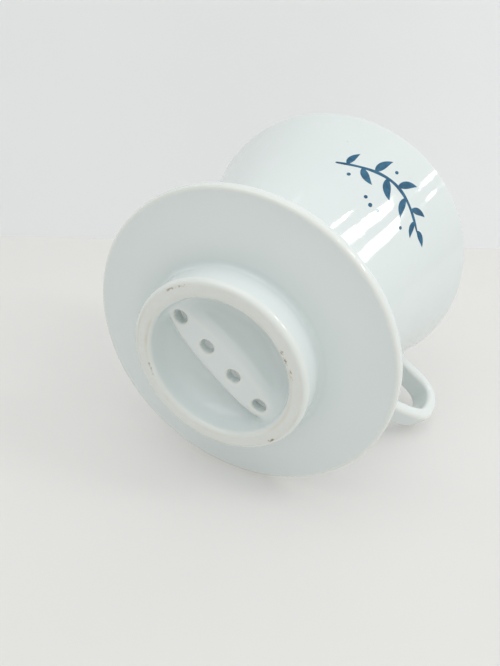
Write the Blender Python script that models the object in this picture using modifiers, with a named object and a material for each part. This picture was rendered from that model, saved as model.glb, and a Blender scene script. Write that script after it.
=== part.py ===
"""Porcelain pour-over dripper for a four-hole wedge filter: vessel, saucer flange, foot ring and strap handle.

The dripper stands upright on its foot ring. +Z is up, the handle points to +X, the row of drain holes runs
along X, and the decorated front faces -Y. The origin is the middle of the whole footprint, handle included,
on the plane that the foot ring stands on. All lengths are in metres.
"""

import math

import bmesh
import bpy
from mathutils import Vector

# Overall
HEIGHT = 0.1160
RIM_RADIUS = 0.0660
GAP = 0.0003

# Vessel
CREST_Z = 0.0047
CREST_HALF_LENGTH = 0.0265
CREST_HALF_WIDTH = 0.0080
CREST_POWER = 2.6
CREST_EDGE = 0.0015
FLOOR_THICKNESS = 0.0045
SLOT_HALF_LENGTH = 0.0250
SLOT_HALF_WIDTH = 0.0048
RIM_WALL = 0.0045
RIM_ROUNDING = 0.0022
VESSEL_SEGMENTS = 96
OUTER_BANDS = 9
INNER_BANDS = 10

# Inner ribs that hold the paper off the wall
RIB_COUNT = 16
RIB_HEIGHT = 0.0010
RIB_START_Z = 0.0150
RIB_END_Z = 0.0900
RIB_FADE = 0.0100

# Drain holes
HOLE_COUNT = 4
HOLE_SPACING = 0.0140
HOLE_DIAMETER = 0.0054
HOLE_ROW_SHIFT = -0.0008

# Saucer flange
FLANGE_RADIUS = 0.0600
FLANGE_EDGE_Z = 0.0170
FLANGE_EDGE_RADIUS = 0.0024
SEAT_Z = 0.0123
SEAT_OUTER_RADIUS = 0.0470
SEAT_INNER_RADIUS = 0.0346
SEAT_RELIEF = 0.0003
FLANGE_ROOT_THICKNESS = 0.0056
FLANGE_INNER_RADIUS = 0.0060

# Foot ring
FOOT_OUTER_RADIUS = 0.0340
FOOT_INNER_RADIUS = 0.0266
FOOT_EDGE = 0.0012
TURNED_STEPS = 72

# Strap handle, as the middle line of the strap in the XZ plane, measured from the vessel's axis
HANDLE_LINE = (
    (0.0500, 0.0930),
    (0.0600, 0.0956),
    (0.0703, 0.0979),
    (0.0796, 0.0997),
    (0.0856, 0.0974),
    (0.0870, 0.0905),
    (0.0862, 0.0810),
    (0.0805, 0.0742),
    (0.0720, 0.0682),
    (0.0620, 0.0622),
    (0.0520, 0.0556),
    (0.0400, 0.0468),
)
STRAP_WIDTH = 0.0114
STRAP_THICKNESS = 0.0058
STRAP_EDGE = 0.0019

PORCELAIN = (0.74, 0.78, 0.77, 1.0)
FOOT_WHITE = (0.72, 0.72, 0.66, 1.0)


def clear_scene():
    for obj in list(bpy.data.objects):
        bpy.data.objects.remove(obj, do_unlink=True)


def new_collection(name):
    collection = bpy.data.collections.new(name)
    bpy.context.scene.collection.children.link(collection)
    return collection


def glazed(name, colour, roughness):
    material = bpy.data.materials.new(name)
    material.use_nodes = True
    shader = material.node_tree.nodes["Principled BSDF"]
    shader.inputs["Base Color"].default_value = colour
    shader.inputs["Roughness"].default_value = roughness
    shader.inputs["Metallic"].default_value = 0.0
    shader.inputs["Coat Weight"].default_value = 0.5
    return material


def add_object(name, mesh, collection, parent=None):
    obj = bpy.data.objects.new(name, mesh)
    collection.objects.link(obj)
    obj.parent = parent
    return obj


def finish_mesh(mesh):
    mesh.shade_smooth()
    mesh.set_sharp_from_angle(angle=math.radians(40))


def oval(half_length, half_width, power, z, count):
    """Points around a superellipse, from +X: power 2 is a plain ellipse, and a higher power has fuller ends."""
    points = []
    for index in range(count):
        angle = 2 * math.pi * index / count
        across = math.cos(angle)
        along = math.sin(angle)
        x = half_length * math.copysign(abs(across) ** (2 / power), across)
        y = half_width * math.copysign(abs(along) ** (2 / power), along)
        points.append(Vector((x, y, z)))
    return points


def blend(low, high, share):
    return low + (high - low) * share


def outer_section(z, inset=0.0, count=VESSEL_SEGMENTS):
    """The vessel's outside at height z, drawn in by inset: boat-shaped at the crest and round at the rim."""
    rise = min(1.0, (z - CREST_Z) / (HEIGHT - RIM_ROUNDING - CREST_Z))
    half_length = blend(CREST_HALF_LENGTH, RIM_RADIUS, rise) - inset
    half_width = blend(CREST_HALF_WIDTH, RIM_RADIUS, rise) - inset
    return oval(half_length, half_width, blend(CREST_POWER, 2.0, rise), z, count)


def rib_rise(z):
    """How much of its height a rib has at height z: it fades in above the floor and out below the rim."""
    if z <= RIB_START_Z or z >= RIB_END_Z:
        return 0.0
    return min(1.0, (z - RIB_START_Z) / RIB_FADE, (RIB_END_Z - z) / RIB_FADE)


def inner_section(z, inset=0.0, count=VESSEL_SEGMENTS):
    """The vessel's inside at height z, with the ribs standing in from the wall."""
    floor_z = CREST_Z + FLOOR_THICKNESS
    rise = min(1.0, (z - floor_z) / (HEIGHT - RIM_ROUNDING - floor_z))
    half_length = blend(SLOT_HALF_LENGTH, RIM_RADIUS - RIM_WALL, rise) + inset
    half_width = blend(SLOT_HALF_WIDTH, RIM_RADIUS - RIM_WALL, rise) + inset
    power = blend(CREST_POWER, 2.0, rise)
    rib = RIB_HEIGHT * rib_rise(z)
    wall = oval(half_length, half_width, power, z, count)
    ribbed = oval(half_length - rib, half_width - rib, power, z, count)
    period = count // RIB_COUNT
    on_rib = (period // 2, period // 2 + 1)
    return [ribbed[i] if i % period in on_rib else wall[i] for i in range(count)]


def loft(name, sections):
    """A closed mesh over a stack of sections with equal point counts, capped at both ends."""
    shape = bmesh.new()
    rings = [[shape.verts.new(point) for point in section] for section in sections]
    count = len(sections[0])
    for low, high in zip(rings, rings[1:]):
        for index in range(count):
            after = (index + 1) % count
            shape.faces.new((low[index], low[after], high[after], high[index]))
    shape.faces.new(list(reversed(rings[0])))
    shape.faces.new(rings[-1])
    bmesh.ops.recalc_face_normals(shape, faces=shape.faces)
    mesh = bpy.data.meshes.new(name)
    shape.to_mesh(mesh)
    shape.free()
    finish_mesh(mesh)
    return mesh


def rounding(radius, steps):
    """(inset, drop) pairs down a quarter round, from its top edge to its side."""
    pairs = []
    for step in range(steps + 1):
        angle = math.pi / 2 * step / steps
        pairs.append((radius * (1 - math.sin(angle)), radius * (1 - math.cos(angle))))
    return pairs


def vessel_mesh():
    sections = [outer_section(CREST_Z + drop, inset) for inset, drop in rounding(CREST_EDGE, 3)]
    start = CREST_Z + CREST_EDGE
    end = HEIGHT - RIM_ROUNDING
    for band in range(1, OUTER_BANDS):
        sections.append(outer_section(start + (end - start) * band / OUTER_BANDS))
    for inset, drop in reversed(rounding(RIM_ROUNDING, 3)):
        sections.append(outer_section(HEIGHT - drop, inset))
    for inset, drop in rounding(RIM_ROUNDING, 3):
        sections.append(inner_section(HEIGHT - drop, inset))
    floor_z = CREST_Z + FLOOR_THICKNESS
    for band in range(INNER_BANDS - 1, -1, -1):
        sections.append(inner_section(floor_z + (end - floor_z) * band / INNER_BANDS))
    return loft("cone_body", sections)


def turned(name, profile, collection, parent):
    """A turned solid from a closed (radius, z) outline that runs down its outer side."""
    shape = bmesh.new()
    points = [shape.verts.new((radius, 0.0, z)) for radius, z in profile]
    for index, point in enumerate(points):
        shape.edges.new((point, points[(index + 1) % len(points)]))
    mesh = bpy.data.meshes.new(name)
    shape.to_mesh(mesh)
    shape.free()
    obj = add_object(name, mesh, collection, parent)
    screw = obj.modifiers.new("Turn", "SCREW")
    screw.axis = "Z"
    screw.angle = 2 * math.pi
    screw.steps = TURNED_STEPS
    screw.render_steps = TURNED_STEPS
    screw.use_merge_vertices = True
    screw.merge_threshold = 0.00001
    screw.use_smooth_shade = True
    return obj


def flange_profile():
    """Down the outer side: top face, round edge, dished underside, flat seat, relief over the foot ring, inner side."""
    edge_x = FLANGE_RADIUS - FLANGE_EDGE_RADIUS
    top_z = SEAT_Z + FLANGE_ROOT_THICKNESS
    points = [(FLANGE_INNER_RADIUS, top_z), (0.0360, top_z), (0.0470, top_z + 0.0003)]
    for step in range(7):
        angle = math.pi / 2 - math.pi * step / 6
        points.append(
            (edge_x + FLANGE_EDGE_RADIUS * math.cos(angle), FLANGE_EDGE_Z + FLANGE_EDGE_RADIUS * math.sin(angle))
        )
    points.append((0.0520, SEAT_Z + 0.0008))
    points.append((SEAT_OUTER_RADIUS, SEAT_Z))
    points.append((SEAT_INNER_RADIUS, SEAT_Z))
    points.append((SEAT_INNER_RADIUS - SEAT_RELIEF, SEAT_Z + SEAT_RELIEF))
    points.append((FLANGE_INNER_RADIUS, SEAT_Z + SEAT_RELIEF))
    return points


def foot_profile():
    """Down the outer side of the foot ring and back up its inner side, both lower edges rounded."""
    top_z = SEAT_Z + SEAT_RELIEF - GAP
    points = [(FOOT_OUTER_RADIUS, top_z)]
    for inset, drop in reversed(rounding(FOOT_EDGE, 3)):
        points.append((FOOT_OUTER_RADIUS - inset, drop))
    for inset, drop in rounding(FOOT_EDGE, 3):
        points.append((FOOT_INNER_RADIUS + inset, drop))
    points.append((FOOT_INNER_RADIUS, top_z))
    return points


def smooth_line(points, steps):
    """A Catmull-Rom line through the given points."""
    knots = [Vector((x, 0.0, z)) for x, z in points]
    knots = [2 * knots[0] - knots[1]] + knots + [2 * knots[-1] - knots[-2]]
    line = []
    for a, b, c, d in zip(knots, knots[1:], knots[2:], knots[3:]):
        for step in range(steps):
            t = step / steps
            line.append(
                0.5 * (2 * b + (c - a) * t + (2 * a - 5 * b + 4 * c - d) * t**2 + (3 * b - 3 * c + d - a) * t**3)
            )
    line.append(knots[-2])
    return line


def strap_outline():
    """The strap's closed outline in its own plane, drawn in by the rounding that the bevel adds back."""
    line = smooth_line(HANDLE_LINE, 4)
    half = STRAP_THICKNESS / 2 - STRAP_EDGE
    left = []
    right = []
    for index, point in enumerate(line):
        before = line[max(index - 1, 0)]
        after = line[min(index + 1, len(line) - 1)]
        along = (after - before).normalized()
        across = Vector((along.z, 0.0, -along.x))
        left.append(point + across * half)
        right.append(point - across * half)
    return left + list(reversed(right))


def strap_mesh():
    curve = bpy.data.curves.new("strap_outline", "CURVE")
    curve.dimensions = "2D"
    curve.fill_mode = "BOTH"
    curve.extrude = STRAP_WIDTH / 2 - STRAP_EDGE
    curve.bevel_depth = STRAP_EDGE
    curve.bevel_resolution = 2
    outline = strap_outline()
    spline = curve.splines.new("POLY")
    spline.points.add(len(outline) - 1)
    for knot, point in zip(spline.points, outline):
        knot.co = (point.x, point.z, 0.0, 1.0)
    spline.use_cyclic_u = True
    holder = bpy.data.objects.new("strap_outline", curve)
    bpy.context.scene.collection.objects.link(holder)
    bpy.context.view_layer.update()
    graph = bpy.context.evaluated_depsgraph_get()
    mesh = bpy.data.meshes.new_from_object(holder.evaluated_get(graph))
    bpy.data.objects.remove(holder, do_unlink=True)
    bpy.data.curves.remove(curve)
    shape = bmesh.new()
    shape.from_mesh(mesh)
    bmesh.ops.remove_doubles(shape, verts=shape.verts, dist=0.00001)
    bmesh.ops.recalc_face_normals(shape, faces=shape.faces)
    shape.to_mesh(mesh)
    shape.free()
    mesh.name = "strap_handle"
    finish_mesh(mesh)
    return mesh


def clearance_cutter(collection, parent):
    """The vessel's outside as a solid, one gap larger all round, that its neighbours are cut with."""
    sections = []
    for index in range(13):
        z = CREST_Z - GAP + (HEIGHT + 0.004 - CREST_Z) * index / 12
        sections.append(outer_section(z, -GAP))
    cutter = add_object("vessel_clearance", loft("vessel_clearance", sections), collection, parent)
    cutter.hide_render = True
    cutter.display_type = "WIRE"
    return cutter


def hole_cutters(collection, parent):
    first = HOLE_ROW_SHIFT - HOLE_SPACING * (HOLE_COUNT - 1) / 2
    for index in range(HOLE_COUNT):
        bpy.ops.mesh.primitive_cylinder_add(vertices=24, radius=HOLE_DIAMETER / 2, depth=0.020)
        cutter = bpy.context.object
        cutter.name = f"drain_drill_{index + 1}"
        for owner in list(cutter.users_collection):
            owner.objects.unlink(cutter)
        collection.objects.link(cutter)
        cutter.parent = parent
        cutter.location = (first + HOLE_SPACING * index, 0.0, CREST_Z + 0.002)
        cutter.hide_render = True
        cutter.display_type = "WIRE"


def cut_with(obj, cutter):
    modifier = obj.modifiers.new("Clear the vessel", "BOOLEAN")
    modifier.operation = "DIFFERENCE"
    modifier.solver = "EXACT"
    modifier.object = cutter


def cut_with_all(obj, collection):
    modifier = obj.modifiers.new("Drill", "BOOLEAN")
    modifier.operation = "DIFFERENCE"
    modifier.solver = "EXACT"
    modifier.operand_type = "COLLECTION"
    modifier.collection = collection


def main():
    clear_scene()
    parts = new_collection("pour_over_dripper")
    cutters = new_collection("clearance_cutters")
    drills = new_collection("drain_drills")

    axis = add_object("vessel_axis", None, parts)
    porcelain = glazed("glazed_porcelain", PORCELAIN, 0.12)
    foot_material = glazed("glazed_porcelain_foot", FOOT_WHITE, 0.35)

    vessel = add_object("cone_body", vessel_mesh(), parts, axis)
    hole_cutters(drills, axis)
    cut_with_all(vessel, drills)

    clearance = clearance_cutter(cutters, axis)
    flange = turned("saucer_flange", flange_profile(), parts, axis)
    cut_with(flange, clearance)
    foot = turned("foot_ring", foot_profile(), parts, axis)
    cut_with(foot, clearance)

    handle_mesh = strap_mesh()
    reach = max(vertex.co.x for vertex in handle_mesh.vertices)
    handle = add_object("strap_handle", handle_mesh, parts, axis)
    handle.rotation_euler = (math.pi / 2, 0.0, 0.0)
    cut_with(handle, clearance)

    for obj in (vessel, flange, handle):
        obj.data.materials.append(porcelain)
    foot.data.materials.append(foot_material)

    # The footprint's middle lies between the rim's far side and the handle's outermost point.
    axis.location = (-(reach - RIM_RADIUS) / 2, 0.0, 0.0)


main()
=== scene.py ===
"""Looks for the porcelain pour-over dripper: one fired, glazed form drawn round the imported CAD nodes."""
import math

import bmesh
import bpy
import numpy as np
from mathutils import Matrix, Vector


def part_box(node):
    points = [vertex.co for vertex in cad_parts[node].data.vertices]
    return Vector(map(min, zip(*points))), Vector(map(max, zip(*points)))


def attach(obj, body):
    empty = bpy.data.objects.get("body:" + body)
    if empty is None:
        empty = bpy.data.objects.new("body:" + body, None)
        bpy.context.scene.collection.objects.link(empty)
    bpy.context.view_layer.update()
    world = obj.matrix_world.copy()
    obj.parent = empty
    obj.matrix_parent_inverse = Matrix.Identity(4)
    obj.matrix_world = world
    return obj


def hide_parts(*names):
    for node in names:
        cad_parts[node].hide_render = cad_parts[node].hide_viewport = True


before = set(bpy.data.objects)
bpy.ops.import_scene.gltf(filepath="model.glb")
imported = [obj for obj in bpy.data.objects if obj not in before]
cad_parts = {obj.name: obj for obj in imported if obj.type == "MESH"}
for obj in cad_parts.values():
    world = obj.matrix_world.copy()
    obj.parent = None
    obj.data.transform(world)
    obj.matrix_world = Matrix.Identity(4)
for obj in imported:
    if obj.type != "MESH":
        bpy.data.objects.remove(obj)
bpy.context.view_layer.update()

# ---------------------------------------------------------------- sizes, in mm round the vessel's own axis
def box_mm(node):
    low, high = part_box(node)
    return np.array(low) * 1000, np.array(high) * 1000


CONE_LOW, CONE_HIGH = box_mm("cone_body")
FLANGE_LOW, FLANGE_HIGH = box_mm("saucer_flange")
FOOT_LOW, FOOT_HIGH = box_mm("foot_ring")
STRAP_LOW, STRAP_HIGH = box_mm("strap_handle")
AXIS_X = (FOOT_LOW[0] + FOOT_HIGH[0]) / 2

# The cone: ovals that grow from the crest (A along X, B along Y, power 2 being an ellipse) to the round rim.
RIM_R = (CONE_HIGH[1] - CONE_LOW[1]) / 2
HEIGHT = CONE_HIGH[2]
CREST_Z = CONE_LOW[2]
CREST_A, CREST_B, CREST_POWER = 26.5, 8.0, 2.6
CREST_EDGE = 2.8
FLOOR_Z = CREST_Z + 4.5
SLOT_A, SLOT_B = 25.0, 4.8
SLOT_EDGE = 1.9
RIM_WALL = 4.5
RIM_ROUND = 2.24
RIM_Z = HEIGHT - 2.2

# The ribs inside: side slope, least spacing for a rib to show, and the heights where they fade in and out.
RIBS = 24
RIB_HEIGHT = 0.95
RIB_SIDE = (0.25, 1.9)
RIB_ROOM = (3.2, 4.6)
RIB_FOOT = (15, 26)
RIB_HEAD = (84, 93)

# The flange: a flat plate whose rim, past FLANGE_FLAT_R, turns up a little.
FLANGE_R = (FLANGE_HIGH[1] - FLANGE_LOW[1]) / 2
FLANGE_EDGE = 1.7
FLANGE_EDGE_Z = 17.0
FLANGE_EDGE_HALF = 2.4
FLANGE_FLAT_R = 40.0
SEAT_Z = FLANGE_LOW[2]
PLATE = 5.6

# The foot ring, and the bowl hollowed out of it from BOWL_DROP below the standing face.
FOOT_R = (FOOT_HIGH[1] - FOOT_LOW[1]) / 2
FOOT_TOP = SEAT_Z + 3.5
FOOT_EDGE = 2.4
BOWL_R, BOWL_Z, BOWL_POWER = 27.0, 16.9, 2.9
BOWL_DROP = 1.0
BOWL_LIP = 2.0

HOLE_R = 2.7
HOLE_MOUTH = 0.9
HOLE_SPACING = 14.0
HOLE_ROW_SHIFT = -0.8
HOLES_X = [HOLE_ROW_SHIFT + HOLE_SPACING * k for k in (-1.5, -0.5, 0.5, 1.5)]

# The handle: a strap along a line of (X, Z) points.
STRAP_W = STRAP_HIGH[1] - STRAP_LOW[1]
STRAP_T = 5.8
STRAP_EDGE = 2.3
STRAP_LINE = np.array([
    (50.0, 93.0), (60.0, 95.6), (70.3, 97.9), (78.6, 99.2), (84.3, 97.5), (86.9, 92.2),
    (87.0, 86.0), (85.4, 80.2), (80.5, 74.6), (72.0, 68.2), (62.0, 62.2), (52.0, 55.6), (40.0, 46.8)])

# Fillets where the shapes run together. The crest's is long on the decorated front and short behind.
FOOT_FILLET = 2.4
CREST_FILLET_FRONT, CREST_FILLET_BACK = 7.5, 3.0
FLANGE_FILLET = 3.4
STRAP_FILLET = 4.0


# ---------------------------------------------------------------- the form, as one signed field in mm
def step01(low, high, value):
    t = np.clip((value - low) / (high - low), 0, 1)
    return t * t * (3 - 2 * t)


def soft_min(a, b, k):
    """The lower of two fields, with a fillet of about k mm where they meet."""
    h = np.clip(0.5 + 0.5 * (b - a) / k, 0, 1)
    return b + (a - b) * h - k * h * (1 - h)


def round_max(a, b, radius):
    """The higher of two fields, with the outer corner rounded."""
    corner = np.hypot(np.maximum(a + radius, 0), np.maximum(b + radius, 0))
    return np.minimum(np.maximum(a, b), -radius) + corner


def oval_size(z, low_z, low_a, low_b, top_r):
    """The half sizes and power of the oval at height z. It turns into a circle of radius top_r at the rim."""
    rise = np.clip((z - low_z) / (RIM_Z - low_z), -0.05, 1)
    return (low_a + (top_r - low_a) * rise, low_b + (top_r - low_b) * rise,
            CREST_POWER + (2 - CREST_POWER) * rise)


def outer_size(z):
    return oval_size(z, CREST_Z, CREST_A, CREST_B, RIM_R)


def inner_size(z):
    return oval_size(z, FLOOR_Z, SLOT_A, SLOT_B, RIM_R - RIM_WALL)


def oval_field(x, y, size, slope_a, slope_b):
    """Distance, to first order, from a stack of ovals whose half sizes grow with height."""
    a, b, power = size
    u = (np.abs(x) / a) ** power
    v = (np.abs(y) / b) ** power
    s = np.maximum(u + v, 1e-9) ** (1 / power)
    k = s ** (1 - power)
    gx = k * (np.abs(x) / a) ** (power - 1) / a
    gy = k * (np.abs(y) / b) ** (power - 1) / b
    gz = -k * (u * slope_a / a + v * slope_b / b)
    return (s - 1) / np.sqrt(gx * gx + gy * gy + gz * gz + 1e-9)


def hull_field(p):
    x, y, z = p[:, 0], p[:, 1], p[:, 2]
    run = RIM_Z - CREST_Z
    flare = z < RIM_Z
    side = oval_field(x, y, outer_size(z), flare * (RIM_R - CREST_A) / run, flare * (RIM_R - CREST_B) / run)
    return round_max(side, CREST_Z - z, CREST_EDGE)


def rib_height(p, size):
    """Raised ribs down the inside wall: even in width, fading out above the slot and below the rim."""
    a, b, power = size
    x, y, z = p[:, 0], p[:, 1], p[:, 2]
    round_x = np.sign(x) * (np.abs(x) / a) ** (power / 2)
    round_y = np.sign(y) * (np.abs(y) / b) ** (power / 2)
    angle = np.arctan2(round_y, round_x)
    pitch = 2 * np.pi / RIBS
    off = (angle / pitch + 0.5) % 1.0 - 0.5
    local = np.sqrt((a * np.sin(angle)) ** 2 + (b * np.cos(angle)) ** 2) * pitch
    across = np.abs(off) * local
    shape = 1 - step01(*RIB_SIDE, across)
    room = step01(*RIB_ROOM, local)
    return RIB_HEIGHT * shape * room * step01(*RIB_FOOT, z) * (1 - step01(*RIB_HEAD, z))


def void_field(p):
    x, y, z = p[:, 0], p[:, 1], p[:, 2]
    run = RIM_Z - FLOOR_Z
    top = RIM_R - RIM_WALL
    flare = z < RIM_Z
    size = inner_size(z)
    side = oval_field(x, y, size, flare * (top - SLOT_A) / run, flare * (top - SLOT_B) / run)
    return round_max(side + rib_height(p, size), FLOOR_Z - z, SLOT_EDGE)


def flange_field(p):
    r, z = np.hypot(p[:, 0], p[:, 1]), p[:, 2]
    share = step01(FLANGE_FLAT_R, FLANGE_R - FLANGE_EDGE, r)
    middle = (SEAT_Z + PLATE / 2) * (1 - share) + FLANGE_EDGE_Z * share
    half = PLATE / 2 * (1 - share) + FLANGE_EDGE_HALF * share
    return round_max(r - FLANGE_R, np.abs(z - middle) - half, FLANGE_EDGE)


def foot_field(p):
    r, z = np.hypot(p[:, 0], p[:, 1]), p[:, 2]
    return np.maximum(round_max(r - FOOT_R, -z, FOOT_EDGE), z - FOOT_TOP)


def bowl_field(p):
    """The hollow inside the foot ring: a shallow dome, so the ring's inner side curves over into its roof."""
    r, z = np.hypot(p[:, 0], p[:, 1]), p[:, 2] + BOWL_DROP
    u, v = (np.abs(r) / BOWL_R) ** BOWL_POWER, (np.abs(z) / BOWL_Z) ** BOWL_POWER
    s = (u + v + 1e-9) ** (1 / BOWL_POWER)
    k = s ** (1 - BOWL_POWER)
    slope = k * np.hypot(u / (r + 1e-6), v / (np.abs(z) + 1e-6))
    return (s - 1) / np.maximum(slope, 1e-4)


def smooth_line(points, steps):
    knots = np.vstack([2 * points[0] - points[1], points, 2 * points[-1] - points[-2]])
    t = (np.arange(steps) / steps)[:, None]
    runs = [0.5 * (2 * b + (c - a) * t + (2 * a - 5 * b + 4 * c - d) * t**2 + (3 * b - 3 * c + d - a) * t**3)
            for a, b, c, d in zip(knots, knots[1:], knots[2:], knots[3:])]
    return np.vstack(runs + [points[-1:]])


STRAP = smooth_line(STRAP_LINE, 10)


def strap_field(p):
    q = p[:, [0, 2]]
    a, b = STRAP[:-1], STRAP[1:]
    ab = b - a
    best = np.full(len(p), 1e9)
    for start, run in zip(a, ab):
        t = np.clip(((q - start) @ run) / (run @ run), 0, 1)
        best = np.minimum(best, np.hypot(*(q - start - t[:, None] * run).T))
    return round_max(best - STRAP_T / 2, np.abs(p[:, 1]) - STRAP_W / 2, STRAP_EDGE)


def waver(p):
    """The slight unevenness of a hand-finished form, under a tenth of a millimetre."""
    x, y, z = p[:, 0], p[:, 1], p[:, 2]
    return (0.035 * np.sin(x / 9.1 + 1.3) * np.sin(y / 11.3 + 0.4) * np.sin(z / 10.2 + 2.1)
            + 0.025 * np.sin(x / 5.3 + z / 7.7) * np.cos(y / 6.1 - z / 9.3))


# Where each shape can matter, so that its field is worked out only there.
LOW_TO_Z = 30
STRAP_FROM_X, STRAP_FROM_Z, STRAP_TO_Y = 32, 34, 18
RIM_FROM_Z = 104
HOLES_TO_Z, HOLES_TO_Y = 16, 9


def porcelain(p):
    """The whole fired form: cone, flange, foot and handle run together, then hollowed and drilled."""
    x, y, z = p[:, 0], p[:, 1], p[:, 2]
    form = hull_field(p)
    low = z < LOW_TO_Z
    if low.any():
        q = p[low]
        base = soft_min(flange_field(q), foot_field(q), FOOT_FILLET)
        base = round_max(base, -bowl_field(q), BOWL_LIP)
        below = CREST_FILLET_FRONT + (CREST_FILLET_BACK - CREST_FILLET_FRONT) * step01(-7, 7, q[:, 1])
        fillet = below + (FLANGE_FILLET - below) * step01(12, 17, q[:, 2])
        form[low] = soft_min(form[low], base, fillet)
    by_strap = (x > STRAP_FROM_X) & (z > STRAP_FROM_Z) & (np.abs(y) < STRAP_TO_Y)
    if by_strap.any():
        form[by_strap] = soft_min(form[by_strap], strap_field(p[by_strap]), STRAP_FILLET)
    form = form + waver(p)
    form = round_max(form, z - HEIGHT, RIM_ROUND)
    void = void_field(p)
    rim = z > RIM_FROM_Z
    form = np.where(rim, round_max(form, -void, RIM_ROUND), np.maximum(form, -void))
    if low.any():
        floor = (z < HOLES_TO_Z) & (np.abs(y) < HOLES_TO_Y)
        for hole_x in HOLES_X:
            form[floor] = round_max(form[floor], HOLE_R - np.hypot(x[floor] - hole_x, y[floor]), HOLE_MOUTH)
    return form


def gradient(field, p, e=0.02):
    g = np.empty_like(p)
    for k in range(3):
        d = np.zeros(3)
        d[k] = e
        g[:, k] = (field(p + d) - field(p - d)) / (2 * e)
    return g


def curvature(p, e=0.9):
    """Positive on outside edges, negative in the hollows where glaze gathers."""
    total = -6 * porcelain(p)
    for k in range(3):
        d = np.zeros(3)
        d[k] = e
        total += porcelain(p + d) + porcelain(p - d)
    return total / (e * e)


# ---------------------------------------------------------------- the pieces: negative inside each one
SEAM_WALL = 1.2
SEAM_FOOT = 10.4
SKIRT = 1.2
SINK = 0.25
FLANGE_REACH_Z = 27
HANDLE_FROM_Z = 32
HANDLE_REACH = 7


def in_cone(p):
    return hull_field(p) - SEAM_WALL


def in_flange(p):
    return np.maximum(np.maximum(SEAM_WALL - hull_field(p), SEAM_FOOT - p[:, 2]), p[:, 2] - FLANGE_REACH_Z)


def in_foot(p):
    return np.maximum(SEAM_WALL - hull_field(p), p[:, 2] - SEAM_FOOT)


def in_handle(p):
    near = strap_field(p) - HANDLE_REACH
    return np.maximum(np.maximum(SEAM_WALL - hull_field(p), HANDLE_FROM_Z - p[:, 2]), near)


def piece_field(member):
    """The form cut to one piece. Past its seam it slips under its neighbour's surface, so no gap shows."""
    def field(p):
        past = member(p)
        return np.maximum(porcelain(p) + SINK * step01(0, SKIRT, past), past - SKIRT)
    return field


# ---------------------------------------------------------------- meshing
CELL = 1.02


def net(field, low, high):
    """A closed quad mesh of the field's surface, one vertex in each crossed cell of a shared grid."""
    start = np.floor(np.array(low) / CELL).astype(int) - 2
    count = np.ceil(np.array(high) / CELL).astype(int) + 3 - start
    axes = [(start[k] + np.arange(count[k])) * CELL for k in range(3)]
    value = np.empty(count)
    for k in range(count[2]):
        gx, gy = np.meshgrid(axes[0], axes[1], indexing="ij")
        layer = np.stack([gx.ravel(), gy.ravel(), np.full(gx.size, axes[2][k])], 1)
        value[:, :, k] = field(layer).reshape(count[0], count[1])
    total = np.zeros(tuple(count - 1) + (3,))
    hits = np.zeros(tuple(count - 1))
    crossings = []
    for k in range(3):
        first = [slice(None)] * 3
        second = [slice(None)] * 3
        first[k], second[k] = slice(None, -1), slice(1, None)
        a, b = value[tuple(first)], value[tuple(second)]
        index = np.argwhere((a < 0) != (b < 0))
        va = a[tuple(index.T)]
        vb = b[tuple(index.T)]
        place = index.astype(float)
        place[:, k] += va / (va - vb)
        crossings.append((index, va < 0))
        others = [axis for axis in range(3) if axis != k]
        for da in (0, 1):
            for db in (0, 1):
                cell = index.copy()
                cell[:, others[0]] -= da
                cell[:, others[1]] -= db
                good = (cell >= 0).all(1) & (cell < count - 1).all(1)
                at = tuple(cell[good].T)
                np.add.at(total, at, place[good])
                np.add.at(hits, at, 1)
    used = hits > 0
    number = np.full(hits.shape, -1)
    number[used] = np.arange(used.sum())
    points = total[used] / hits[used][:, None]
    points = (points + start) * CELL
    faces = []
    for k in range(3):
        index, rising = crossings[k]
        u, v = [(1, 2), (2, 0), (0, 1)][k]
        corners = []
        for du, dv in ((0, 0), (-1, 0), (-1, -1), (0, -1)):
            cell = index.copy()
            cell[:, u] += du
            cell[:, v] += dv
            corners.append(number[tuple(cell.T)])
        quad = np.stack(corners, 1)
        quad[~rising] = quad[~rising][:, ::-1]
        faces.append(quad)
    return points, np.vstack(faces)


def settle(field, p, rounds=4):
    """Moves points on to the field's surface along its slope."""
    p = p.copy()
    for _ in range(rounds):
        g = gradient(field, p)
        move = field(p)[:, None] * g / np.maximum((g * g).sum(1), 0.05)[:, None]
        length = np.linalg.norm(move, axis=1)[:, None]
        p -= move * np.minimum(1, 0.4 * CELL / np.maximum(length, 1e-9))
    return p


def to_frame(p):
    out = p / 1000
    out[:, 0] += AXIS_X / 1000
    return out


def make_piece(name, member, low, high, material):
    field = piece_field(member)
    points, faces = net(field, low, high)
    points = settle(field, points)
    normals = gradient(porcelain, points)
    own = gradient(field, points)
    hidden = (np.abs(porcelain(points)) > SINK + 0.05)
    normals[hidden] = own[hidden]
    normals /= np.maximum(np.linalg.norm(normals, axis=1), 1e-9)[:, None]
    mesh = bpy.data.meshes.new(name)
    mesh.from_pydata(to_frame(points).tolist(), [], faces.tolist())
    mesh.shade_smooth()
    mesh.normals_split_custom_set_from_vertices(normals.tolist())
    bend = mesh.attributes.new("bend", "FLOAT", "POINT")
    bend.data.foreach_set("value", np.clip(curvature(points), -1, 1).astype(np.float32))
    mesh.materials.append(material)
    piece = bpy.data.objects.new(name, mesh)
    bpy.context.scene.collection.objects.link(piece)
    print(name, len(points), "points", 2 * len(faces), "triangles")
    return piece


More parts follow.
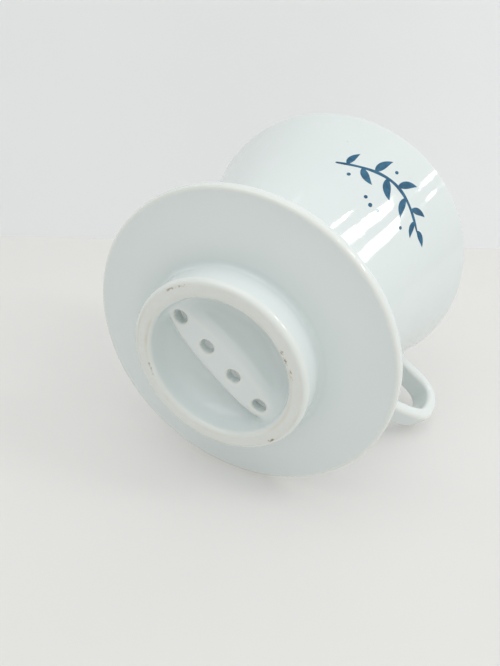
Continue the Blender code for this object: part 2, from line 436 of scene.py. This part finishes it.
# ---------------------------------------------------------------- finishes
class Nodes:
    """Short names for building a material's nodes."""

    def __init__(self, name):
        self.material = bpy.data.materials.new(name)
        self.material.use_nodes = True
        self.tree = self.material.node_tree
        self.tree.nodes.clear()
        self.out = self.tree.nodes.new("ShaderNodeOutputMaterial")

    def add(self, kind, **settings):
        node = self.tree.nodes.new("ShaderNode" + kind)
        for key, value in settings.items():
            setattr(node, key, value)
        return node

    def link(self, a, b):
        self.tree.links.new(a, b)

    def place(self):
        return self.add("TexCoord").outputs["Object"]

    def noise(self, scale, detail=3.0, roughness=0.5, source=None):
        node = self.add("TexNoise")
        node.inputs["Scale"].default_value = scale
        node.inputs["Detail"].default_value = detail
        node.inputs["Roughness"].default_value = roughness
        self.link(source or self.place(), node.inputs["Vector"])
        return node.outputs["Fac"]

    def ramp(self, source, low, high, to_low=0.0, to_high=1.0, smooth=True):
        node = self.add("MapRange", interpolation_type="SMOOTHSTEP" if smooth else "LINEAR")
        self.link(source, node.inputs["Value"])
        for key, value in zip(("From Min", "From Max", "To Min", "To Max"), (low, high, to_low, to_high)):
            node.inputs[key].default_value = value
        return node.outputs["Result"]

    def math(self, kind, a, b=None):
        node = self.add("Math", operation=kind)
        for socket, value in zip(node.inputs, (a, b)):
            if value is None:
                continue
            if isinstance(value, (int, float)):
                socket.default_value = value
            else:
                self.link(value, socket)
        return node.outputs[0]

    def mix(self, share, a, b):
        node = self.add("Mix", data_type="RGBA")
        self.link(share, node.inputs["Factor"])
        for socket, value in ((node.inputs[6], a), (node.inputs[7], b)):
            if isinstance(value, tuple):
                socket.default_value = (*value, 1.0)
            else:
                self.link(value, socket)
        return node.outputs[2]


GLAZE = (0.772, 0.824, 0.817)
GLAZE_CLOUD = (0.75, 0.812, 0.804)
GLAZE_POOL = (0.72, 0.80, 0.785)
# Edge tint: creamier where the glaze thins, and also lighter, as a painted highlight of the light on edges.
GLAZE_THIN_EDGE_AND_HIGHLIGHT = (0.85, 0.85, 0.795)
SPECK = (0.33, 0.29, 0.24)
BARE_CLAY = (0.80, 0.825, 0.79)
BARE_CLAY_CLOUD = (0.785, 0.80, 0.755)
STAIN = (0.70, 0.66, 0.53)
SCUFF = (0.34, 0.26, 0.17)
COBALT = (0.008, 0.080, 0.165)
COBALT_THIN = (0.022, 0.150, 0.265)
COBALT_DRY = (0.10, 0.29, 0.40)
GLAZE_IOR = 1.52

# Where the standing face is worn: angle round it and half its spread (radians), radius and half width (m).
WORN_PATCHES = (
    (-2.74, 0.22, 0.0323, 0.0009),
    (-1.15, 0.25, 0.0287, 0.0009),
    (0.05, 0.10, 0.0320, 0.0008),
    (2.1, 0.15, 0.0283, 0.0006),
)


def glaze_colour(n):
    """White glaze: cooler where it gathers in hollows, creamier where it thins on edges and painted lighter
    there as a highlight, with fine specks.
    """
    bend = n.add("Attribute", attribute_name="bend").outputs["Fac"]
    colour = n.mix(n.ramp(n.noise(22, 3), 0.35, 0.7, 0.0, 0.5), GLAZE, GLAZE_CLOUD)
    colour = n.mix(n.ramp(bend, -0.03, -0.35, 0.0, 0.6), colour, GLAZE_POOL)
    # On outside edges: creamier thin glaze, plus a painted highlight that makes them lighter.
    colour = n.mix(n.ramp(bend, 0.12, 0.6, 0.0, 0.6), colour, GLAZE_THIN_EDGE_AND_HIGHLIGHT)
    cells = n.add("TexVoronoi")
    cells.inputs["Scale"].default_value = 95
    n.link(n.place(), cells.inputs["Vector"])
    rare = n.ramp(n.noise(60, 1), 0.62, 0.66)
    speck = n.math("MULTIPLY", n.ramp(cells.outputs["Distance"], 0.035, 0.02), rare)
    return n.mix(n.math("MULTIPLY", speck, 0.35), colour, SPECK)


def glaze_relief(n):
    """Orange-peel flow of the glaze, a few hundredths of a millimetre deep."""
    bump = n.add("Bump")
    bump.inputs["Strength"].default_value = 0.35
    bump.inputs["Distance"].default_value = 0.00012
    n.link(n.math("ADD", n.noise(140, 2), n.math("MULTIPLY", n.noise(520, 2), 0.18)), bump.inputs["Height"])
    return bump.outputs["Normal"]


def glaze_shader(n):
    shader = n.add("BsdfPrincipled")
    n.link(glaze_colour(n), shader.inputs["Base Color"])
    n.link(n.ramp(n.noise(35, 4), 0.3, 0.75, 0.035, 0.10), shader.inputs["Roughness"])
    n.link(glaze_relief(n), shader.inputs["Normal"])
    shader.inputs["IOR"].default_value = GLAZE_IOR
    return shader


def white_glaze():
    n = Nodes("white_glaze")
    n.link(glaze_shader(n).outputs[0], n.out.inputs["Surface"])
    return n.material


def foot_glaze():
    """The same glaze, wiped off the standing face, where the bare body shows cream with brown scuffs."""
    n = Nodes("foot_glaze")
    split = n.add("SeparateXYZ")
    n.link(n.place(), split.inputs[0])
    x = n.math("SUBTRACT", split.outputs["X"], AXIS_X / 1000)
    y = split.outputs["Y"]
    radius = n.math("SQRT", n.math("ADD", n.math("MULTIPLY", x, x), n.math("MULTIPLY", y, y)))
    ragged = n.math("MULTIPLY", n.math("SUBTRACT", n.noise(260, 4, 0.6), 0.5), 0.0011)
    radius = n.math("ADD", radius, ragged)
    low = n.ramp(n.math("ADD", split.outputs["Z"], n.math("MULTIPLY", ragged, 0.4)), 0.00034, 0.00022)
    band = n.math("MULTIPLY", n.ramp(radius, 0.0276, 0.0281), n.ramp(radius, 0.0327, 0.0322))
    bare = n.math("MULTIPLY", low, band)
    clay = n.mix(n.ramp(n.noise(300, 5, 0.6), 0.35, 0.75), BARE_CLAY, BARE_CLAY_CLOUD)
    borders = n.math("MAXIMUM", n.ramp(radius, 0.0296, 0.0280), n.ramp(radius, 0.0312, 0.0326))
    stain = n.math("MULTIPLY", borders, n.ramp(n.noise(45, 3), 0.42, 0.66, 0.05, 0.7))
    clay = n.mix(stain, clay, STAIN)
    angle = n.math("ARCTAN2", y, x)
    worn = None
    for at_angle, spread, at_radius, wide in WORN_PATCHES:
        round_off = n.math("ABSOLUTE", n.math("SUBTRACT", angle, at_angle))
        out_off = n.math("ABSOLUTE", n.math("SUBTRACT", radius, at_radius))
        near = n.math("MULTIPLY", n.ramp(round_off, spread, spread * 0.4), n.ramp(out_off, wide, wide * 0.4))
        worn = near if worn is None else n.math("MAXIMUM", worn, near)
    scuff = n.math("MULTIPLY", worn, n.ramp(n.noise(620, 3, 0.65), 0.50, 0.60))
    clay = n.mix(n.math("MULTIPLY", scuff, 0.9), clay, SCUFF)
    rough = n.add("BsdfPrincipled")
    n.link(clay, rough.inputs["Base Color"])
    n.link(n.ramp(n.noise(500, 3), 0.3, 0.7, 0.62, 0.85), rough.inputs["Roughness"])
    grain = n.add("Bump")
    grain.inputs["Strength"].default_value = 0.5
    grain.inputs["Distance"].default_value = 0.00008
    n.link(n.noise(2600, 3, 0.6), grain.inputs["Height"])
    n.link(grain.outputs["Normal"], rough.inputs["Normal"])
    both = n.add("MixShader")
    n.link(bare, both.inputs[0])
    n.link(glaze_shader(n).outputs[0], both.inputs[1])
    n.link(rough.outputs[0], both.inputs[2])
    n.link(both.outputs[0], n.out.inputs["Surface"])
    return n.material


WHITE = white_glaze()
FOOT = foot_glaze()

# ---------------------------------------------------------------- the four pieces, each meshed in its own box
FOOT_BOX = FOOT_R + 3
cone = make_piece("glazed_cone", in_cone, (-RIM_R, -RIM_R, CREST_Z), (RIM_R + 1, RIM_R, HEIGHT), WHITE)
flange = make_piece("glazed_flange", in_flange, (-FLANGE_R, -FLANGE_R, 8), (FLANGE_R, FLANGE_R, 28), WHITE)
foot = make_piece("glazed_foot_ring", in_foot, (-FOOT_BOX, -FOOT_BOX, 0), (FOOT_BOX, FOOT_BOX, 13), FOOT)
handle = make_piece("glazed_handle", in_handle, (36, -14, 32), (91, 14, 102), WHITE)
for piece, node, slot in ((cone, "cone_body", "white_glaze"), (flange, "saucer_flange", "white_glaze"),
                          (foot, "foot_ring", "foot_glaze"), (handle, "strap_handle", "white_glaze")):
    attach(piece, "root")
    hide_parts(node)

# ---------------------------------------------------------------- the brushed sprig on the front wall
SPRIG_ANGLE, SPRIG_Z = math.radians(-96.5), 89.5
STROKE_LIFT = 0.06
STROKE_ROWS = (-1, -0.5, 0, 0.5, 1)
STEM_STEPS = 90
LEAF_STEPS = 26
BERRY_STEPS = 14
LEAF_STRETCH, LEAF_FULLNESS = 1.2, 1.3

# How far along the stem, how far turned from it (degrees), length and width (mm).
LEAVES = (
    (0.10, 62, 6.2, 2.1), (0.22, -50, 7.0, 2.4), (0.33, 58, 7.6, 2.5),
    (0.46, -55, 7.8, 2.6), (0.58, 52, 7.4, 2.4), (0.70, -52, 6.8, 2.3),
    (0.82, 48, 6.2, 2.0), (0.92, -42, 5.4, 1.8), (0.99, 12, 5.6, 1.9),
)
# Place round and up the wall from the sprig's middle, and width (mm).
BERRIES = (
    (-14.6, -5.2, 1.5), (-1.8, 9.2, 1.5), (14.4, -5.6, 1.4),
    (-3.6, -8.6, 1.5), (-0.2, -9.8, 1.7), (3.4, -9.0, 1.4),
)


def on_wall(u, v, lift):
    """A point u mm round the wall and v mm up it from the sprig's middle, lifted off the glaze."""
    z = SPRIG_Z + v
    a, b, power = outer_size(z)
    angle = SPRIG_ANGLE + u / ((a + b) / 2)
    p = np.stack([a * np.cos(angle), b * np.sin(angle), z], 1)
    wall = lambda q: hull_field(q) + waver(q)
    for _ in range(3):
        g = gradient(wall, p)
        p = p - wall(p)[:, None] * g / (g * g).sum(1)[:, None]
    g = gradient(wall, p)
    g /= np.linalg.norm(g, axis=1)[:, None]
    return p + g * lift, g


def stroke(line, widths, points, faces, normals):
    """One brush stroke: a thin closed ribbon along a line in (u, v), as wide at each point as widths says."""
    line, widths = np.array(line, float), np.array(widths, float)
    along = np.gradient(line, axis=0)
    along /= np.maximum(np.linalg.norm(along, axis=1), 1e-9)[:, None]
    across = np.stack([-along[:, 1], along[:, 0]], 1)
    first, n = len(points), len(line)
    for lift in (STROKE_LIFT, -STROKE_LIFT):
        for side in STROKE_ROWS:
            q = line + across * (widths * side / 2)[:, None]
            p, g = on_wall(q[:, 0], q[:, 1], lift)
            points.extend(to_frame(p).tolist())
            normals.extend(g.tolist() if lift > 0 else (-g).tolist())
    at = lambda row, i: first + row * n + i
    ring = (0, 1, 2, 3, 4, 9, 8, 7, 6, 5)
    for i in range(n - 1):
        for a, b in zip(ring, ring[1:] + ring[:1]):
            faces.append((at(a, i), at(a, i + 1), at(b, i + 1), at(b, i)))
    faces.append([at(a, 0) for a in ring])
    faces.append([at(a, n - 1) for a in reversed(ring)])


def bow(start, end, sag, steps):
    start, end = np.array(start, float), np.array(end, float)
    t = np.linspace(0, 1, steps)[:, None]
    run = end - start
    side = np.array([-run[1], run[0]])
    return start + run * t + side * sag * 4 * t * (1 - t)


def sprig_mesh():
    points, faces, normals = [], [], []
    t = np.linspace(0, 1, STEM_STEPS)
    stem = np.stack([-22 + 43 * t, 4.5 * np.sin(t * 3.9 - 0.5) - 1.0 + 2.4 * t], 1)
    stroke(stem, 0.7 + 0.6 * np.sin(t * np.pi) ** 0.5 + 0.15 * np.sin(t * 23), points, faces, normals)
    along_leaf = np.linspace(0, 1, LEAF_STEPS)
    leaf_shape = np.maximum(np.sin(along_leaf ** 0.8 * np.pi) ** 0.9, 0.04)
    last = STEM_STEPS - 1
    for share, turn, length, width in LEAVES:
        at = int(share * last)
        base = stem[at]
        run = stem[min(at + 1, last)] - stem[at - 1]
        angle = math.atan2(run[1], run[0]) + math.radians(turn)
        tip = base + LEAF_STRETCH * length * np.array([math.cos(angle), math.sin(angle)])
        rib = bow(base, tip, 0.09 * np.sign(turn), LEAF_STEPS)
        stroke(rib, LEAF_FULLNESS * width * leaf_shape, points, faces, normals)
    t = np.linspace(0, 1, BERRY_STEPS)
    berry_shape = np.sqrt(np.maximum(1 - (2 * t - 1) ** 2, 0.02))
    for u, v, size in BERRIES:
        across = np.stack([u + size * (t - 0.5), np.full(BERRY_STEPS, v)], 1)
        stroke(across, size * berry_shape, points, faces, normals)
    mesh = bpy.data.meshes.new("brushed_sprig")
    mesh.from_pydata(points, [], faces)
    mesh.shade_smooth()
    mesh.normals_split_custom_set_from_vertices(normals)
    return mesh


def cobalt_glaze():
    """Cobalt brushed on thin: darker where the brush paused, paler where it ran dry, under clear glaze."""
    n = Nodes("cobalt_glaze")
    shader = n.add("BsdfPrincipled")
    wash = n.mix(n.ramp(n.noise(310, 3, 0.6), 0.32, 0.68), COBALT, COBALT_THIN)
    wash = n.mix(n.ramp(n.noise(900, 3, 0.7), 0.62, 0.8, 0.0, 0.45), wash, COBALT_DRY)
    n.link(wash, shader.inputs["Base Color"])
    n.link(n.ramp(n.noise(35, 4), 0.3, 0.75, 0.035, 0.10), shader.inputs["Roughness"])
    n.link(glaze_relief(n), shader.inputs["Normal"])
    shader.inputs["IOR"].default_value = GLAZE_IOR
    n.link(shader.outputs[0], n.out.inputs["Surface"])
    return n.material


sprig_shape = sprig_mesh()
sprig_shape.materials.append(cobalt_glaze())
sprig = bpy.data.objects.new("brushed_sprig", sprig_shape)
bpy.context.scene.collection.objects.link(sprig)
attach(sprig, "root")
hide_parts("cone_body")

# ---------------------------------------------------------------- stage: pale table and wall
# The dripper stays upright in its frame, so its table and the wall behind are tilted round it.
TABLE_FACING = Vector((-0.6614, -0.7476, 0.0604))
TABLE_DROP = 0.0589
UP = TABLE_FACING.normalized()
BACK = Vector((0.3457, -0.3753, -0.8600)).normalized()
SIDE = UP.cross(BACK).normalized()
WALL_OFF = -0.2921
SHEET_HALF = 1.5
VESSEL_FOOT = Vector((AXIS_X / 1000, 0, 0))
TABLE_AT = VESSEL_FOOT - TABLE_FACING * TABLE_DROP


def pale(name, tint, grain, glow):
    """A pale matt surface that is only there from its front, so that it never hides the object.

    Its glow is painted light, light of its own and not a lamp's, and it keeps the object's contact shadow
    soft.
    """
    n = Nodes(name)
    shader = n.add("BsdfPrincipled")
    cloud = tuple(0.975 * c for c in tint)
    n.link(n.mix(n.ramp(n.noise(grain, 4, 0.55), 0.3, 0.72), tint, cloud), shader.inputs["Base Color"])
    shader.inputs["Roughness"].default_value = 0.55
    shader.inputs["Specular IOR Level"].default_value = 0.25
    shader.inputs["Emission Color"].default_value = (*tint, 1.0)
    shader.inputs["Emission Strength"].default_value = glow
    clear = n.add("BsdfTransparent")
    both = n.add("MixShader")
    n.link(n.add("NewGeometry").outputs["Backfacing"], both.inputs[0])
    n.link(shader.outputs[0], both.inputs[1])
    n.link(clear.outputs[0], both.inputs[2])
    n.link(both.outputs[0], n.out.inputs["Surface"])
    return n.material


def sheet(name, centre, across, along, material):
    across, along = across * SHEET_HALF, along * SHEET_HALF
    corners = [centre + across * i + along * j for i, j in ((-1, -1), (1, -1), (1, 1), (-1, 1))]
    mesh = bpy.data.meshes.new(name)
    mesh.from_pydata([tuple(c) for c in corners], [], [(0, 1, 2, 3)])
    mesh.materials.append(material)
    obj = bpy.data.objects.new(name, mesh)
    bpy.context.scene.collection.objects.link(obj)
    return obj


WALL_BASE = TABLE_AT + BACK * (WALL_OFF - BACK.dot(TABLE_AT - VESSEL_FOOT))
# Both sheets glow as painted light: the table strongly, to lift the contact shadow, and the wall faintly, to
# brighten it.
TABLE_WHITE = pale("table_white", (0.55, 0.544, 0.531), 6, 0.40)
WALL_WHITE = pale("wall_white", (0.885, 0.895, 0.90), 4, 0.06)
table_top = sheet("table_top", WALL_BASE + BACK * SHEET_HALF, BACK, UP.cross(BACK), TABLE_WHITE)
back_wall = sheet("back_wall", WALL_BASE, SIDE, BACK.cross(SIDE), WALL_WHITE)

# ---------------------------------------------------------------- light: a bright room, windows to one side
CAM_RIGHT = Vector((0.6529, -0.6168, 0.4396))
CAM_DOWN = Vector((0.7523, 0.4608, -0.4708))
CAM_FORWARD = Vector((0.0878, 0.6381, 0.7649))
CAM_AT = Vector((-0.0301, -0.1322, -0.1307))


def from_camera(right, down, forward):
    return CAM_RIGHT * right + CAM_DOWN * down + CAM_FORWARD * forward


BRIGHT_SIDE = from_camera(0.33, -0.78, -0.50).normalized()
HIGH_WINDOW = from_camera(-0.25, -0.80, -0.50).normalized()
ROOM_TINT = (0.985, 1.0, 0.995, 1.0)
ROOM_DIM, ROOM_BRIGHT = 0.34, 0.985
WINDOW_TINT = (1.0, 1.0, 0.99)
PANE_RADIANCE = 15.0
PANE_DISTANCE = 1.3
PANE_AIM = Vector((0, 0, 0.06))

# Each pane's direction as seen from the camera (right, down, forward), then its width and height (m).
PANES = (
    (0.59, -0.62, -0.52, 0.05, 0.07),
    (0.69, -0.51, -0.55, 0.10, 0.10),
    (0.70, -0.50, -0.45, 0.09, 0.11),
    (0.80, -0.38, -0.55, 0.09, 0.12),
    (0.80, -0.38, -0.44, 0.12, 0.14),
    (0.78, -0.50, -0.33, 0.05, 0.07),
    (0.86, -0.40, -0.30, 0.04, 0.04),
)


def room_light():
    world = bpy.data.worlds.new("bright_room")
    world.use_nodes = True
    tree = world.node_tree
    background = tree.nodes["Background"]
    coords = tree.nodes.new("ShaderNodeTexCoord")
    dot = tree.nodes.new("ShaderNodeVectorMath")
    dot.operation = "DOT_PRODUCT"
    dot.inputs[1].default_value = BRIGHT_SIDE
    tree.links.new(coords.outputs["Generated"], dot.inputs[0])
    glow = tree.nodes.new("ShaderNodeMapRange")
    glow.interpolation_type = "SMOOTHSTEP"
    span = (-0.25, 0.98, ROOM_DIM, ROOM_BRIGHT)
    for key, value in zip(("From Min", "From Max", "To Min", "To Max"), span):
        glow.inputs[key].default_value = value
    tree.links.new(dot.outputs["Value"], glow.inputs["Value"])
    tree.links.new(glow.outputs["Result"], background.inputs["Strength"])
    background.inputs["Color"].default_value = ROOM_TINT
    bpy.context.scene.world = world


def high_window():
    """A broad, soft light from above, which shades the hollows' upper sides."""
    light = bpy.data.lights.new("high_window", "SUN")
    light.energy = 0.55
    light.angle = math.radians(55)
    light.color = WINDOW_TINT
    obj = bpy.data.objects.new("high_window", light)
    obj.rotation_euler = HIGH_WINDOW.to_track_quat("Z", "Y").to_euler()
    bpy.context.scene.collection.objects.link(obj)


def pane(name, direction, width, height):
    """One bright window pane, seen mostly as a reflection in the glaze."""
    light = bpy.data.lights.new(name, "AREA")
    light.shape = "RECTANGLE"
    light.size, light.size_y = width, height
    light.energy = PANE_RADIANCE * math.pi * width * height
    light.color = WINDOW_TINT
    obj = bpy.data.objects.new(name, light)
    out = direction.normalized()
    tall = (CAM_FORWARD - out * CAM_FORWARD.dot(out)).normalized()
    wide = tall.cross(out)
    turned = Matrix((wide, tall, out)).transposed().to_4x4()
    obj.matrix_world = Matrix.Translation(PANE_AIM + out * PANE_DISTANCE) @ turned
    bpy.context.scene.collection.objects.link(obj)


room_light()
high_window()
for index, (right, down, forward, width, height) in enumerate(PANES):
    pane(f"window_pane_{index + 1}", from_camera(right, down, forward), width, height)

# ---------------------------------------------------------------- camera
camera = bpy.data.cameras.new("camera")
camera.sensor_width = 36
camera.lens = 29.19
camera.clip_start = 0.005
eye = bpy.data.objects.new("camera", camera)
turn = Matrix((CAM_RIGHT, -CAM_DOWN, -CAM_FORWARD)).transposed()
eye.matrix_world = Matrix.Translation(CAM_AT) @ turn.to_4x4()
bpy.context.scene.collection.objects.link(eye)
bpy.context.scene.camera = eye

view = bpy.context.scene.view_settings
view.view_transform = "Standard"
view.look = "None"
view.exposure = 0.0
